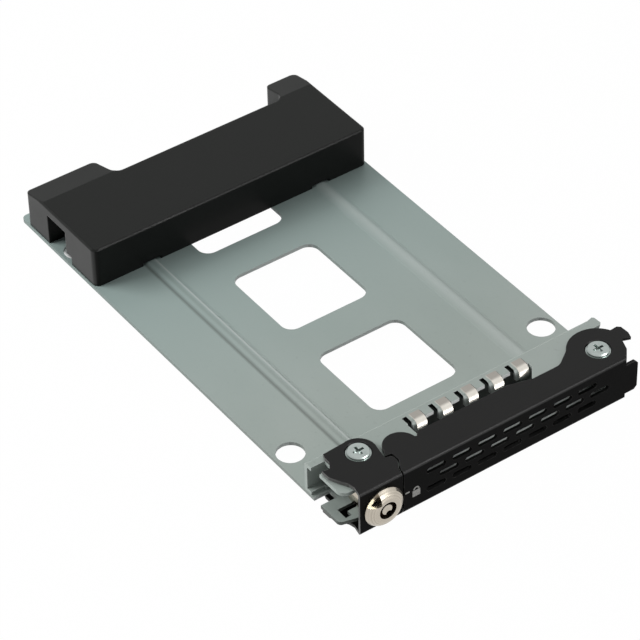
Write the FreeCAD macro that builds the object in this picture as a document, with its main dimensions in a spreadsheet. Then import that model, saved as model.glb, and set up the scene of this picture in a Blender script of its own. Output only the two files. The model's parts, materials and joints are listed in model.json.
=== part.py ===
"""Hard drive tray for a 2.5-inch bay.

A stamped steel plate with a folded front channel carries a moulded filler block at the rear and, at the
front, a folded steel lever on the right and a folded latch with a tubular key lock on the left.

Frame: millimetres, +X to the right across the tray, +Y to the rear, +Z up. The origin is midway between the
two front drive screw holes, on the plate's upper face.
"""

import FreeCAD, Part
import math
import os
import re

import Sketcher

SIZES = {
    # The two sheets: plate and channel
    "drive_hole_pitch": 61.72,
    "drive_row_pitch": 76.6,
    "drive_hole_radius": 2.95,
    "plate_half_width": 34.5,
    "plate_rear_y": 93.1,
    "steel_thickness": 0.8,
    "tab_front_y": -12.1,
    "notch_inset": 3.2,
    "ear_rear_y": -14.5,
    "ear_inset": 0.3,
    "ear_front_y": -21.8,
    "left_ear_radius": 2.0,
    "right_ear_radius": 2.5,
    "floor_tab_front_y": -13.0,
    "floor_notch_inset": 3.5,
    "floor_ear_rear_y": -15.4,
    "floor_ear_front_y": -22.3,
    "floor_left_ear_x": -34.7,
    "floor_taper_x": -31.0,
    "floor_taper_drop": 1.0,
    "floor_left_radius": 1.0,
    "floor_right_radius": 3.3,
    "window_left_x": -10.85,
    "window_right_x": 9.75,
    "window_front_y": -1.0,
    "window_length": 20.9,
    "window_pitch": 30.0,
    "window_corner": 2.6,
    "left_bead_x": -20.6,
    "right_bead_x": 22.2,
    "bead_half_width": 1.6,
    "bead_height": 0.5,
    "bead_crown_bend": 2.2,
    "bead_foot_bend": 1.2,
    "bead_rear_y": 66.0,
    "cam_slot_left_x": -32.9,
    "cam_slot_right_x": -28.6,
    "cam_slot_y": -18.95,
    "cam_slot_width": 1.4,
    "cam_slot_leg": 2.75,
    "wall_rear_y": -10.0,
    "shelf_top_z": 7.1,
    "foot_depth": 2.5,
    "channel_bend": 0.6,
    "shelf_tab_x": 35.9,
    "shelf_tab_front_y": -12.7,
    # Contact fingers along the shelf's recess
    "recess_left_x": -12.7,
    "recess_right_x": 16.9,
    "recess_front_x": 14.8,
    "recess_slant_y": -17.0,
    "recess_depth": 3.2,
    "finger_first_x": -12.5,
    "finger_pitch": 6.22,
    "relief_width": 1.0,
    "relief_depth": 1.3,
    "shear_gap": 0.15,
    "flap_width": 4.1,
    "flap_bend": 1.4,
    "flap_bottom_z": 4.8,
    "finger_width": 2.35,
    "finger_thickness": 0.15,
    "finger_set": 1.2,
    "finger_bend": 1.5,
    "finger_stand": 0.9,
    "finger_bottom_z": 5.4,
    # Filler block
    "block_inset": 0.2,
    "block_front_y": 64.0,
    "block_rear_y": 90.6,
    "block_height": 9.5,
    "block_wall": 1.7,
    "block_corner": 1.3,
    "block_edge": 0.35,
    "ear_slope_y": 84.0,
    "ear_slope_drop": 1.3,
    "bay_left_x": -17.4,
    "bay_right_x": 26.5,
    "bay_y": 83.3,
    "bay_corner": 2.2,
    "rib_thickness": 1.2,
    "side_port_front_y": 75.2,
    "side_port_top_z": 7.4,
    "side_step_front_y": 73.3,
    "side_step_top_z": 2.0,
    "block_boss_radius": 2.8,
    # Folded lever and latch
    "fold_thickness": 0.7,
    "fold_gap": 0.25,
    "floor_gap": 1.1,
    "face_front_y": -24.5,
    "fold_bend": 0.8,
    "lever_pivot_inset": 4.8,
    "lever_pivot_y": -19.0,
    "latch_pivot_inset": 9.3,
    "latch_pivot_y": -14.6,
    "lever_rear": 2.3,
    "lever_step_start": 20.7,
    "lever_step_end": 15.5,
    "lever_step_rear": 0.9,
    "lever_ramp_start": 8.9,
    "lever_ramp_end": 5.1,
    "lever_lobe": 6.3,
    "beak_set": 2.72,
    "beak_rear": 1.1,
    "beak_radius": 3.6,
    "beak_hook": 1.2,
    "beak_tip_rear": 0.4,
    "seam_gap": 0.33,
    "face_right": 2.7,
    "face_tab_right": 5.7,
    "face_tab_bottom_z": -1.15,
    "face_tab_top_z": 6.2,
    "tooth_reach": 7.95,
    "tooth_rear": 3.1,
    "tooth_tip": 1.0,
    "lever_waist": 5.4,
    "latch_left": 6.9,
    "latch_right": 3.1,
    "latch_lobe": 3.75,
    "latch_tail": 5.8,
    "latch_tail_rear": 3.4,
    "latch_bay_depth": 0.6,
    "hook_reach": 8.7,
    "hook_tip_front": 0.25,
    "hook_heel_front": 2.3,
    "latch_waist": 6.4,
    "latch_waist_front": 7.4,
    "shoulder_reach": 4.5,
    "shoulder_rear": 4.3,
    "shoulder_front": 6.3,
    "shoulder_foot": 8.8,
    # Air slots in the lever's face
    "slot_length": 4.8,
    "slot_height": 1.3,
    "slot_pitch": 6.13,
    "slot_first_x": -16.5,
    "slot_rows_z": 0.7,
    "slot_row_pitch": 2.3,
    # Pivots
    "post_radius": 1.9,
    "shank_radius": 1.0,
    "running_gap": 0.07,
    "head_radius": 2.5,
    "head_rise": 0.3,
    "head_step": 0.2,
    "head_step_drop": 0.3,
    "head_edge": 0.2,
    "cross_depth": 0.7,
    "block_screw_head": 2.4,
    "block_screw_shank": 1.45,
    "block_screw_length": 5.0,
    # Tubular key lock
    "lock_offset": 1.6,
    "lock_z": 2.5,
    "bezel_radius": 4.4,
    "bezel_rim": 0.4,
    "bezel_front": 1.75,
    "bezel_nose_radius": 2.75,
    "barrel_radius": 3.5,
    "barrel_flat": 2.2,
    "barrel_rear_y": -18.2,
    "groove_y": -21.7,
    "groove_width": 1.0,
    "groove_radius": 2.8,
    "plug_radius": 1.9,
    "plug_gap": 0.05,
    "key_post_radius": 1.15,
    "key_post_set": 0.3,
    "key_bite_radius": 0.7,
    "keyway_depth": 2.4,
    "notch_left": 1.4,
    "notch_up": 1.85,
    "notch_well": 0.3,
    "clip_radius": 4.2,
    "clip_thickness": 0.5,
    "cam_thickness": 0.7,
    "cam_reach": 3.4,
    "stub_radius": 0.9,
}

FORMULAS = {
    "ear_half_width": "plate_half_width - ear_inset",
    "notch_half_width": "plate_half_width - notch_inset",
    "block_half_width": "plate_half_width - block_inset",
    "foot_front_y": "wall_rear_y - foot_depth",
    "recess_y": "wall_rear_y - recess_depth",
    "relief_rear_y": "wall_rear_y - relief_depth",
    "finger_rear_y": "wall_rear_y - finger_set",
    "finger_front_y": "recess_y - finger_stand",
    "flap_front_y": "finger_front_y + finger_thickness",
    "lever_pivot_x": "plate_half_width - lever_pivot_inset",
    "latch_pivot_x": "latch_pivot_inset - plate_half_width",
    "lock_x": "latch_pivot_x - lock_offset",
    "seam_x": "latch_pivot_x + latch_right + seam_gap",
    "shoulder_x": "latch_pivot_x + shoulder_reach + seam_gap",
    "beak_x": "shoulder_x + beak_set",
    "beak_y": "lever_pivot_y + beak_rear",
    "plate_low_z": "-(steel_thickness + floor_gap)",
    "fold_low_z": "plate_low_z - fold_thickness",
    "plate_high_z": "shelf_top_z + fold_gap",
    "fold_high_z": "plate_high_z + fold_thickness",
}

FINGER_COUNT = 5
WINDOW_COUNT = 3
SLOTS_PER_ROW = 7
CELL_COLUMNS = 6

document = FreeCAD.newDocument("HardDriveTray")


def write_sheet():
    """Put every driving size, and every size worked out from them, in the sheet as a named cell."""
    sheet = document.addObject("Spreadsheet::Sheet", "Sizes")
    cells = [(name, str(value)) for name, value in SIZES.items()]
    cells += [(name, f"={formula}") for name, formula in FORMULAS.items()]
    for row, (name, content) in enumerate(cells, start=1):
        sheet.set(f"A{row}", name)
        sheet.set(f"B{row}", content)
        sheet.setAlias(f"B{row}", name)
    document.recompute()
    return sheet


sheet = write_sheet()


def size(name):
    """A driving size as the sheet holds it."""
    return float(sheet.get(name))


def bound(text):
    """An expression whose names are written out as cells of the sheet."""
    known = SIZES.keys() | FORMULAS.keys()
    return re.sub(r"[a-z][a-z_]*[a-z]", lambda word: f"Sizes.{word[0]}" if word[0] in known else word[0], text)


def new_body(label):
    """An empty body with the name of its sub-part."""
    body = document.addObject("PartDesign::Body", label)
    body.Label = label
    return body


def plane_of(body, role):
    """One of the body's own origin planes."""
    return next(feature for feature in body.Origin.OriginFeatures if feature.Role == role)


def sketch_on(body, role="XY_Plane", height="0"):
    """A sketch on an origin plane, raised along the plane's normal. The XZ plane's normal is -Y."""
    sketch = body.newObject("Sketcher::SketchObject", f"{body.Label}_sketch")
    sketch.AttachmentSupport = [(plane_of(body, role), "")]
    sketch.MapMode = "FlatFace"
    sketch.setExpression(".AttachmentOffset.Base.z", bound(height))
    return sketch


def fix(sketch, kind, geometry, vertex, start, text):
    """Bind one coordinate of a point to the sheet."""
    index = sketch.addConstraint(Sketcher.Constraint(kind, -1, 1, geometry, vertex, start))
    sketch.setExpression(f"Constraints[{index}]", bound(text))


def outline(sketch, corners):
    """A closed run of lines through corners given as pairs of expressions, anticlockwise."""
    first = sketch.GeometryCount
    count = len(corners)
    turn = 2 * math.pi / count
    start = [FreeCAD.Vector(math.cos(turn * i), math.sin(turn * i), 0) for i in range(count)]
    for i in range(count):
        sketch.addGeometry(Part.LineSegment(start[i], start[(i + 1) % count]))
    for i in range(count):
        follower = first + (i + 1) % count
        sketch.addConstraint(Sketcher.Constraint("Coincident", first + i, 2, follower, 1))
    for i, (across, along) in enumerate(corners):
        fix(sketch, "DistanceX", first + i, 1, start[i].x, across)
        fix(sketch, "DistanceY", first + i, 1, start[i].y, along)


def rectangle(sketch, left, right, low, high):
    """A rectangle from four expressions."""
    outline(sketch, [(left, low), (right, low), (right, high), (left, high)])


def circle(sketch, across, along, radius):
    """A circle from three expressions."""
    index = sketch.addGeometry(Part.Circle(FreeCAD.Vector(), FreeCAD.Vector(0, 0, 1), 1))
    fix(sketch, "DistanceX", index, 3, 0, across)
    fix(sketch, "DistanceY", index, 3, 0, along)
    limit = sketch.addConstraint(Sketcher.Constraint("Radius", index, 1))
    sketch.setExpression(f"Constraints[{limit}]", bound(radius))


def pad(body, sketch, length, symmetric=False):
    """Raise a sketch into material."""
    feature = body.newObject("PartDesign::Pad", f"{body.Label}_pad")
    feature.Profile = sketch
    feature.SideType = "Symmetric" if symmetric else "One side"
    feature.setExpression("Length", bound(length))
    document.recompute()
    return feature


def pocket(body, sketch, length):
    """Cut a sketch evenly to both sides of its plane, and make sure that it removes material."""
    before = body.Shape.Volume
    feature = body.newObject("PartDesign::Pocket", f"{body.Label}_pocket")
    feature.Profile = sketch
    feature.SideType = "Symmetric"
    feature.setExpression("Length", bound(length))
    document.recompute()
    if not body.Shape.Volume < before:
        raise RuntimeError(f"a pocket of {body.Label} cuts nothing")
    return feature


def revolve(body, sketch):
    """Turn a half section about the sketch's own upright axis."""
    feature = body.newObject("PartDesign::Revolution", f"{body.Label}_turn")
    feature.Profile = sketch
    feature.ReferenceAxis = (sketch, ["V_Axis"])
    feature.Angle = 360
    document.recompute()
    return feature


def spots(*points):
    """A test for edges that stand on one of these points of the XY plane."""
    return lambda edge: len(edge.Vertexes) == 2 and any(
        all(math.hypot(vertex.X - x, vertex.Y - y) < 0.02 for vertex in edge.Vertexes) for x, y in points
    )


def soften(body, radius, wanted, kind="Fillet"):
    """Round or chamfer the body's edges that pass a test."""
    base = body.Tip
    names = [f"Edge{i}" for i, edge in enumerate(base.Shape.Edges, start=1) if wanted(edge)]
    if not names:
        raise RuntimeError(f"{body.Label} has no such edge to round")
    feature = body.newObject(f"PartDesign::{kind}", f"{body.Label}_{kind}")
    feature.Base = (base, names)
    feature.setExpression("Radius" if kind == "Fillet" else "Size", bound(radius))
    document.recompute()
    return feature


def corners_of(sketch, *indices):
    """The places of an outline's corners, as the solved sketch holds them."""
    points = [sketch.Geometry[index].StartPoint for index in indices]
    return [(point.x, point.y) for point in points]


def along_x(y, z):
    """A test for long edges that run along X at this height and depth."""
    return lambda edge: len(edge.Vertexes) == 2 and all(
        math.hypot(vertex.Y - y, vertex.Z - z) < 0.02 for vertex in edge.Vertexes
    )


def along_y(x, z):
    """A test for long edges that run along Y at this place across and this height."""
    return lambda edge: len(edge.Vertexes) == 2 and all(
        math.hypot(vertex.X - x, vertex.Z - z) < 0.02 for vertex in edge.Vertexes
    )


def hole_rim(radius, level):
    """A test for the round edge of an upright hole at a level."""
    return lambda edge: (
        isinstance(edge.Curve, Part.Circle)
        and abs(edge.Curve.Radius - radius) < 0.01
        and abs(edge.Curve.Center.z - level) < 0.01
    )


def floor_outline():
    """The plate's outline: straight sides, a notch in each of them and two ears at the front."""
    notch = "(plate_half_width - floor_notch_inset)"
    return [
        ("floor_taper_x", "floor_ear_front_y"),
        ("ear_half_width", "floor_ear_front_y"),
        ("ear_half_width", "floor_ear_rear_y"),
        (notch, "floor_ear_rear_y"),
        (notch, "floor_tab_front_y"),
        ("plate_half_width", "floor_tab_front_y"),
        ("plate_half_width", "plate_rear_y"),
        ("-plate_half_width", "plate_rear_y"),
        ("-plate_half_width", "floor_tab_front_y"),
        (f"-{notch}", "floor_tab_front_y"),
        (f"-{notch}", "floor_ear_rear_y"),
        ("floor_left_ear_x", "floor_ear_rear_y"),
        ("floor_left_ear_x", "floor_ear_front_y + floor_taper_drop"),
    ]


def bore(body, places, radius, length="90", role="XY_Plane", height="0"):
    """Round holes at places given as pairs of expressions."""
    sketch = sketch_on(body, role, height)
    for across, along in places:
        circle(sketch, across, along, radius)
    return pocket(body, sketch, length)


CROWN = 0.45
PIVOTS = [("latch_pivot_x", "latch_pivot_y"), ("lever_pivot_x", "lever_pivot_y")]
BLOCK_SCREW_X = "(block_half_width - block_wall) * 5 / 6"
ROW_LENGTH = "(bay_y - 1.3 - block_front_y - block_wall - rib_thickness) / 2"


def block_screw_places():
    """Where the two screws from below enter the filler block."""
    along = f"block_front_y + block_wall + {ROW_LENGTH} / 2"
    return [(f"-{BLOCK_SCREW_X}", along), (BLOCK_SCREW_X, along)]


def tray_plate():
    """The flat steel base with its windows, beads and holes, carried forward as the channel's floor."""
    body = new_body("tray_plate")
    base = sketch_on(body, height="-steel_thickness")
    outline(base, floor_outline())
    pad(body, base, "steel_thickness")
    soften(body, "floor_left_radius", spots(*corners_of(base, 0, 12)))
    soften(body, "floor_right_radius", spots(*corners_of(base, 1)))
    soften(body, "block_corner", spots(*corners_of(base, 6, 7)))

    for number in range(WINDOW_COUNT):
        window = sketch_on(body)
        low = f"window_front_y + {number} * window_pitch"
        rectangle(window, "window_left_x", "window_right_x", low, f"{low} + window_length")
        pocket(body, window, "4 * steel_thickness")
        soften(body, "window_corner", spots(*corners_of(window, 0, 1, 2, 3)))

    for centre in ("left_bead_x", "right_bead_x"):
        ridge = sketch_on(body, "XZ_Plane", "-bead_rear_y")
        outline(ridge, bead_section(centre, "0"))
        pad(body, ridge, "bead_rear_y - wall_rear_y")
        middle = size(centre)
        top = [along_y(middle + side * size("bead_half_width") * CROWN, size("bead_height")) for side in (-1, 1)]
        foot = [along_y(middle + side * size("bead_half_width"), 0) for side in (-1, 1)]
        for bend, tests in (("bead_crown_bend", top), ("bead_foot_bend", foot)):
            soften(body, bend, lambda edge, tests=tests: any(test(edge) for test in tests))
        hollow = sketch_on(body, "XZ_Plane", "-(bead_rear_y + wall_rear_y) / 2")
        outline(hollow, bead_section(centre, "-steel_thickness"))
        pocket(body, hollow, "bead_rear_y - wall_rear_y - steel_thickness")

    half_pitch = "drive_hole_pitch / 2"
    rows = ("0", "drive_row_pitch")
    drive_holes = [(side + half_pitch, row) for row in rows for side in ("", "-")]
    bore(body, drive_holes, "drive_hole_radius", "4 * steel_thickness")
    bore(body, PIVOTS, "shank_radius + running_gap", "4 * steel_thickness")
    for place in block_screw_places():
        countersink(body, place)

    slot = sketch_on(body)
    top = "cam_slot_y + cam_slot_width / 2"
    knee = "cam_slot_left_x + cam_slot_width"
    outline(slot, [
        ("cam_slot_left_x", f"{top} - cam_slot_leg"),
        (knee, f"{top} - cam_slot_leg"),
        (knee, "cam_slot_y - cam_slot_width / 2"),
        ("cam_slot_right_x", "cam_slot_y - cam_slot_width / 2"),
        ("cam_slot_right_x", top),
        ("cam_slot_left_x", top),
    ])
    pocket(body, slot, "4 * steel_thickness")
    return body


def bead_section(centre, level):
    """A bead's flat-topped section, standing on a level."""
    foot = "bead_half_width"
    crown = f"bead_half_width * {CROWN}"
    return [
        (f"{centre} - {foot}", level),
        (f"{centre} + {foot}", level),
        (f"{centre} + {crown}", f"{level} + bead_height"),
        (f"{centre} - {crown}", f"{level} + bead_height"),
    ]


def countersink(body, place):
    """A screw hole that widens to the plate's lower face."""
    across, along = place
    bore(body, [place], "block_screw_shank + plug_gap", "4 * steel_thickness")
    cone = sketch_on(body, "XY_Plane", "-steel_thickness")
    circle(cone, across, along, "block_screw_head + plug_gap")
    sunk = pocket(body, cone, "steel_thickness")
    return sunk


def front_channel():
    """The folded strip on the plate: a foot, an upright wall and a shelf with contact flaps."""
    body = new_body("front_channel")
    section = sketch_on(body, "YZ_Plane")
    inner_wall = "wall_rear_y - steel_thickness"
    outline(section, [
        ("foot_front_y", "0"),
        ("wall_rear_y", "0"),
        ("wall_rear_y", "shelf_top_z"),
        ("ear_front_y", "shelf_top_z"),
        ("ear_front_y", "shelf_top_z - steel_thickness"),
        (inner_wall, "shelf_top_z - steel_thickness"),
        (inner_wall, "steel_thickness"),
        ("foot_front_y", "steel_thickness"),
    ])
    pad(body, section, "2 * plate_half_width", symmetric=True)
    soften(body, "channel_bend", along_x(size("wall_rear_y"), size("shelf_top_z")))
    soften(body, "channel_bend / 2", along_x(size("wall_rear_y"), 0))

    notches = sketch_on(body)
    outer = "(plate_half_width + 1)"
    before = "ear_front_y - 1"
    outline(notches, [
        ("-notch_half_width", "ear_rear_y"),
        ("-notch_half_width", "tab_front_y"),
        (f"-{outer}", "tab_front_y"),
        (f"-{outer}", before),
        ("-ear_half_width", before),
        ("-ear_half_width", "ear_rear_y"),
    ])
    outline(notches, [
        ("notch_half_width", "tab_front_y"),
        ("notch_half_width", "ear_rear_y"),
        ("ear_half_width", "ear_rear_y"),
        ("ear_half_width", before),
        (outer, before),
        (outer, "wall_rear_y + 1"),
        ("ear_half_width", "wall_rear_y + 1"),
        ("ear_half_width", "tab_front_y"),
    ])
    pocket(body, notches, "4 * shelf_top_z")
    front = (size("ear_half_width"), size("ear_front_y"))
    soften(body, "left_ear_radius", spots((-front[0], front[1])))
    soften(body, "right_ear_radius", spots(front))

    shelf_low = "shelf_top_z - steel_thickness"
    shelf_tab = sketch_on(body, height=shelf_low)
    outline(shelf_tab, [
        ("notch_half_width", "shelf_tab_front_y"),
        ("shelf_tab_x - 0.7", "shelf_tab_front_y"),
        ("shelf_tab_x", "shelf_tab_front_y + 0.5"),
        ("shelf_tab_x - 0.1", "wall_rear_y - 0.4"),
        ("shelf_tab_x - 0.5", "wall_rear_y"),
        ("ear_half_width", "wall_rear_y - channel_bend / 2"),
        ("ear_half_width", "tab_front_y + 0.5"),
        ("notch_half_width", "tab_front_y + 0.5"),
    ])
    pad(body, shelf_tab, "steel_thickness")

    recess = sketch_on(body, height="shelf_top_z")
    outline(recess, [
        ("recess_left_x", "ear_front_y - 1"),
        ("recess_front_x", "ear_front_y - 1"),
        ("recess_front_x", "recess_slant_y"),
        ("recess_right_x", "flap_front_y - 0.4"),
        ("recess_right_x", "recess_y"),
        ("recess_left_x", "recess_y"),
    ])
    pocket(body, recess, "4 * steel_thickness")
    reliefs = sketch_on(body, height="shelf_top_z")
    for number in range(FINGER_COUNT):
        left = f"finger_first_x + {number} * finger_pitch"
        rectangle(reliefs, left, f"{left} + flap_width + shear_gap", "recess_y - 0.2", "relief_rear_y")
    pocket(body, reliefs, "3 * steel_thickness")
    flap_back = "flap_front_y + steel_thickness"
    for number in range(FINGER_COUNT):
        flap = sketch_on(body, "YZ_Plane", f"finger_first_x + {number} * finger_pitch + relief_width")
        outline(flap, [
            ("flap_front_y", "flap_bottom_z"),
            (flap_back, "flap_bottom_z"),
            (flap_back, shelf_low),
            ("relief_rear_y + 0.1", shelf_low),
            ("relief_rear_y + 0.1", "shelf_top_z"),
            ("flap_front_y", "shelf_top_z"),
        ])
        pad(body, flap, "flap_width - relief_width")
    front, top, thickness = size("flap_front_y"), size("shelf_top_z"), size("steel_thickness")
    soften(body, "flap_bend", along_x(front, top))
    soften(body, "flap_bend - steel_thickness", along_x(front + thickness, top - thickness))
    bore(body, PIVOTS, "shank_radius + running_gap", "3 * steel_thickness", height="shelf_top_z")
    return body


def contact_finger(number):
    """One nickel spring finger: it lies on the shelf, rolls over the flap and hangs down in front of it."""
    body = new_body(f"contact_finger_{number + 1}")
    left = f"finger_first_x + {number} * finger_pitch + flap_width - finger_width"
    section = sketch_on(body, "YZ_Plane", left)
    outline(section, [
        ("finger_rear_y", "shelf_top_z + finger_thickness"),
        ("finger_front_y", "shelf_top_z + finger_thickness"),
        ("finger_front_y", "finger_bottom_z"),
        ("finger_front_y + finger_thickness", "finger_bottom_z"),
        ("finger_front_y + finger_thickness", "shelf_top_z"),
        ("finger_rear_y", "shelf_top_z"),
    ])
    pad(body, section, "finger_width")
    front, top, thickness = size("finger_front_y"), size("shelf_top_z"), size("finger_thickness")
    soften(body, "finger_bend", along_x(front, top + thickness))
    soften(body, "finger_bend - finger_thickness", along_x(front + thickness, top))
    return body


def rear_block():
    """The moulded filler block: a ribbed shell with two rear ears and a port in its left side."""
    body = new_body("rear_block")
    base = sketch_on(body)
    outline(base, [
        ("-block_half_width", "block_front_y"),
        ("block_half_width", "block_front_y"),
        ("block_half_width", "block_rear_y"),
        ("bay_right_x", "block_rear_y"),
        ("bay_right_x", "bay_y"),
        ("bay_left_x + 0.8", "bay_y"),
        ("bay_left_x", "block_rear_y"),
        ("-block_half_width", "block_rear_y"),
    ])
    pad(body, base, "block_height")
    soften(body, "block_corner", spots(*corners_of(base, 0, 1, 2, 3, 6, 7)))
    soften(body, "bay_corner", spots(*corners_of(base, 4, 5)))

    slope = sketch_on(body, "YZ_Plane")
    outline(slope, [
        ("ear_slope_y", "block_height"),
        ("block_rear_y", "block_height - ear_slope_drop"),
        ("block_rear_y + 1", "block_height - ear_slope_drop"),
        ("block_rear_y + 1", "block_height + 1"),
        ("ear_slope_y", "block_height + 1"),
    ])
    pocket(body, slope, "3 * block_half_width")
    top = size("block_height")
    front = size("block_front_y")
    half = size("block_half_width")
    slope_start = size("ear_slope_y")

    def upper_rim(edge):
        low = min(vertex.Z for vertex in edge.Vertexes)
        box = edge.BoundBox
        outside = box.YMax < front + 2 or box.XMax < 1 - half or box.XMin > half - 1
        return low > top - 0.02 and outside and box.YMin < slope_start - 0.1

    soften(body, "block_edge", upper_rim, "Chamfer")

    cells = sketch_on(body)
    for row in range(2):
        low = f"block_front_y + block_wall + {row} * ({ROW_LENGTH} + rib_thickness)"
        for column in range(CELL_COLUMNS):
            pitch = f"2 * (block_half_width - block_wall) / {CELL_COLUMNS}"
            left = f"block_wall - block_half_width + {column} * {pitch}"
            start = left if column == 0 else f"{left} + rib_thickness / 2"
            last = column == CELL_COLUMNS - 1
            end = f"{left} + {pitch}" if last else f"{left} + {pitch} - rib_thickness / 2"
            rectangle(cells, start, end, low, f"{low} + {ROW_LENGTH}")
    ear_low = "bay_y + rib_thickness - 1"
    ear_high = "block_rear_y - block_wall"
    ear_middle = "(bay_left_x - block_half_width) / 2"
    rectangle(cells, "block_wall - block_half_width", f"{ear_middle} - rib_thickness / 2", ear_low, ear_high)
    rectangle(cells, f"{ear_middle} + rib_thickness / 2", "bay_left_x - block_wall", ear_low, ear_high)
    rectangle(cells, "bay_right_x + block_wall", "block_half_width - block_wall", ear_low, ear_high)
    pocket(body, cells, "2 * (block_height - block_wall - ear_slope_drop)")

    for place in block_screw_places():
        boss = sketch_on(body)
        circle(boss, *place, "block_boss_radius")
        pad(body, boss, "block_height - block_wall")
    bore(body, block_screw_places(), "block_screw_shank", "2 * (block_screw_length + 0.5)")

    port = sketch_on(body, "YZ_Plane", "-block_half_width")
    rear = "bay_y - 1.3"
    outline(port, [
        ("side_step_front_y", "-1"),
        (rear, "-1"),
        (rear, "side_port_top_z"),
        ("side_port_front_y", "side_port_top_z"),
        ("side_port_front_y", "side_step_top_z"),
        ("side_step_front_y", "side_step_top_z"),
    ])
    pocket(body, port, "2 * block_wall + 0.2")

    bead_ways = sketch_on(body, "XZ_Plane", "-block_front_y")
    for centre in ("left_bead_x", "right_bead_x"):
        side = "bead_half_width + bead_foot_bend / 2"
        rectangle(bead_ways, f"{centre} - ({side})", f"{centre} + {side}", "-1", "bead_height + fold_gap")
    pocket(body, bead_ways, "2 * (bead_rear_y + fold_gap - block_front_y)")
    return body


def block_screw(label, place):
    """A countersunk screw from below the plate into the filler block."""
    body = new_body(label)
    across, along = place
    head = sketch_on(body, height="-steel_thickness")
    circle(head, across, along, "block_screw_head")
    pad(body, head, "steel_thickness / 2")
    shank = sketch_on(body, height="-steel_thickness")
    circle(shank, across, along, "block_screw_shank")
    pad(body, shank, "block_screw_length + steel_thickness")
    driver_cross(body, across, along, "-steel_thickness", "block_screw_head * 0.6", "steel_thickness")
    return body


def driver_cross(body, across, along, level, reach, depth):
    """A cross-shaped driver recess at a level of an upright screw."""
    half_width = "head_radius * 0.11"
    for flat, tall in ((reach, half_width), (half_width, reach)):
        arm = sketch_on(body, height=level)
        rectangle(arm, f"{across} - {flat}", f"{across} + {flat}", f"{along} - {tall}", f"{along} + {tall}")
        pocket(body, arm, depth)


def pivot_post(label, place):
    """The round spacer that joins plate and shelf and carries both pivot screws."""
    body = new_body(label)
    section = sketch_on(body)
    circle(section, *place, "post_radius")
    circle(section, *place, "shank_radius")
    pad(body, section, "shelf_top_z - steel_thickness")
    return body


def pivot_screw_top(label, place):
    """A screw whose thick round head stands on the shelf: the folded sheet's upper plate turns on the head."""
    body = new_body(label)
    head_high = "fold_high_z + head_rise"
    for radius, low, high in (
        ("shank_radius", "shelf_top_z / 2", "shelf_top_z"),
        ("head_radius", "shelf_top_z", "fold_high_z - head_step_drop"),
        ("head_radius - head_step", "fold_high_z - head_step_drop", head_high),
    ):
        step = sketch_on(body, height=low)
        circle(step, *place, radius)
        pad(body, step, f"{high} - ({low})")
    rim = hole_rim(size("head_radius") - size("head_step"), size("fold_high_z") + size("head_rise"))
    soften(body, "head_edge", rim, "Chamfer")
    driver_cross(body, *place, head_high, "head_radius * 0.48", "2 * cross_depth")
    return body


def pivot_screw_bottom(label, place):
    """The same below the plate, with the head as journal of the lower plate."""
    body = new_body(label)
    head_low = "fold_low_z - head_rise / 2"
    for radius, low, high in (
        ("shank_radius", "-steel_thickness", "shelf_top_z / 2 - 1"),
        ("head_radius", head_low, "-steel_thickness"),
    ):
        step = sketch_on(body, height=low)
        circle(step, *place, radius)
        pad(body, step, f"{high} - ({low})")
    slot = sketch_on(body, height=head_low)
    across, along = place
    rectangle(slot, f"{across} - head_radius - 1", f"{across} + head_radius + 1", f"{along} - 0.3", f"{along} + 0.3")
    pocket(body, slot, "2 * cross_depth")
    return body


def journal_holes(body, place):
    """The holes of a folded piece for the heads of its two pivot screws, with the upper one's rim chamfered."""
    bore(body, [place], "head_radius + running_gap")
    rim = hole_rim(size("head_radius") + size("running_gap"), size("fold_high_z"))
    soften(body, "head_edge", rim, "Chamfer")


def folded_shell(body, corners):
    """The full height of a folded piece as one solid outline, before its inside is cut out."""
    base = sketch_on(body, height="fold_low_z")
    outline(base, corners)
    pad(body, base, "fold_high_z - fold_low_z")
    return base


def hollow_fold(body):
    """Round the two front folds and cut the space between the two plates, behind the face."""
    high, low, front = size("fold_high_z"), size("fold_low_z"), size("face_front_y")
    soften(body, "fold_bend", lambda edge: along_x(front, high)(edge) or along_x(front, low)(edge))
    gap = sketch_on(body, "YZ_Plane")
    back = "face_front_y + fold_thickness"
    rectangle(gap, back, f"{back} + 40", "plate_low_z", "plate_high_z")
    pocket(body, gap, "4 * plate_half_width")


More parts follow.
